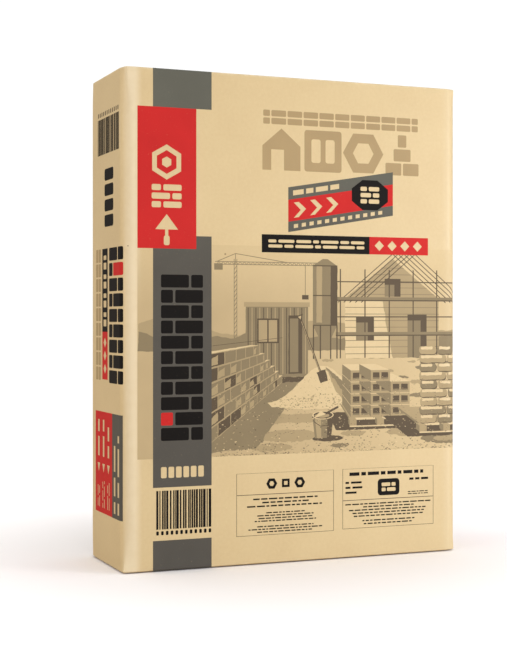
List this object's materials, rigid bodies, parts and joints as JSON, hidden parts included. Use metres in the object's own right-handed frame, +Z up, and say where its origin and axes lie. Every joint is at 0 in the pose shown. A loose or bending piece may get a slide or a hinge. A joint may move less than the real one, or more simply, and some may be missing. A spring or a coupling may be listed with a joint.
{
  "type": "cement bag",
  "caption": "Filled kraft paper valve sack with folded block ends, standing upright, for storing and pouring cement powder.",
  "frame": {"origin": "on the floor under the middle of the bag, at the bottom cover patch's lower face", "axes": "+Z up along the bag's height, +X along its width towards the valve end, -Y out of the broad printed face"},
  "size_m": [0.407, 0.131, 0.54],
  "materials": {
    "kraft_paper": "smooth matt kraft paper, printed",
    "patch_paper": "smooth matt kraft paper, pasted",
    "sleeve_paper": "pale sleeve paper",
    "cement_powder": "dry grey powder",
    "grey_ink": "flat grey printing ink on kraft paper",
    "red_ink": "flat red printing ink on kraft paper",
    "black_ink": "flat black printing ink on kraft paper",
    "tan_ink": "flat tan printing ink on kraft paper",
    "sepia_ink": "sepia printing ink in flat tones on kraft paper"
  },
  "bodies": {
    "root": {"paper_sack": "kraft_paper", "top_cover_patch": "patch_paper", "bottom_cover_patch": "patch_paper", "valve_sleeve": "sleeve_paper", "cement_fill": "cement_powder"}
  },
  "joints": []
}
